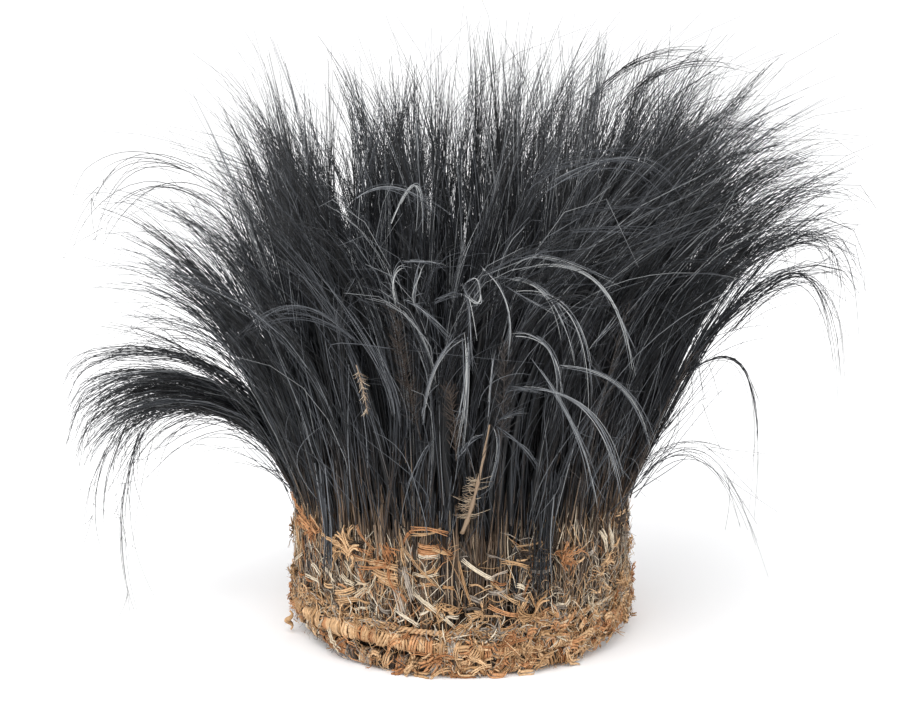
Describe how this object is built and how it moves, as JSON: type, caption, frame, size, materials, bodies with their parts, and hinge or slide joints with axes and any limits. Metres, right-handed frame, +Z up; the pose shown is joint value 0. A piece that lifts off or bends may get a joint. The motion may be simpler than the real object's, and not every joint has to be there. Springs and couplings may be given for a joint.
{
  "type": "feathered headdress",
  "caption": "Open headband of knotted plant fibre with long hair-like black feathers tied round it in bunches that stand up, fan outward and droop at the tips.",
  "frame": {"origin": "centre of the band's opening, on the flat surface that the band stands on", "axes": "+Z up through the opening, +X to the wearer's left, where the plumage spreads widest, -Y to the front"},
  "size_m": [0.4388, 0.3798, 0.3332],
  "materials": {
    "feather": "black hair-like feathers with a soft grey sheen",
    "wall_fibre": "matt brown plaited plant fibre",
    "rim_fibre": "matt golden-tan twisted plant fibre",
    "tie_fibre": "matt orange-brown twined plant fibre",
    "binding_fibre": "matt straw-coloured bark and leaf strips"
  },
  "bodies": {
    "root": {"band_wall": "wall_fibre", "rim_cord_lower": "rim_fibre", "rim_cord_upper": "rim_fibre", "tie_cord": "tie_fibre", "feather_bunch_01": "feather", "feather_bunch_02": "feather", "feather_bunch_03": "feather", "feather_bunch_04": "feather", "feather_bunch_05": "feather", "feather_bunch_06": "feather", "feather_bunch_07": "feather", "feather_bunch_08": "feather", "feather_bunch_09": "feather", "feather_bunch_10": "feather", "feather_bunch_11": "feather", "feather_bunch_12": "feather", "feather_bunch_13": "feather", "feather_bunch_14": "feather", "feather_bunch_15": "feather", "feather_bunch_16": "feather", "feather_bunch_17": "feather", "feather_bunch_18": "feather", "feather_bunch_19": "feather", "feather_bunch_20": "feather", "feather_bunch_21": "feather", "feather_bunch_22": "feather", "feather_bunch_23": "feather", "feather_bunch_24": "feather", "neck_binding_1": "binding_fibre", "neck_binding_2": "binding_fibre", "neck_binding_3": "binding_fibre", "neck_binding_4": "binding_fibre", "neck_binding_5": "binding_fibre", "neck_binding_6": "binding_fibre", "neck_binding_7": "binding_fibre", "neck_binding_8": "binding_fibre", "neck_binding_9": "binding_fibre", "cord_tail": "rim_fibre"}
  },
  "joints": []
}
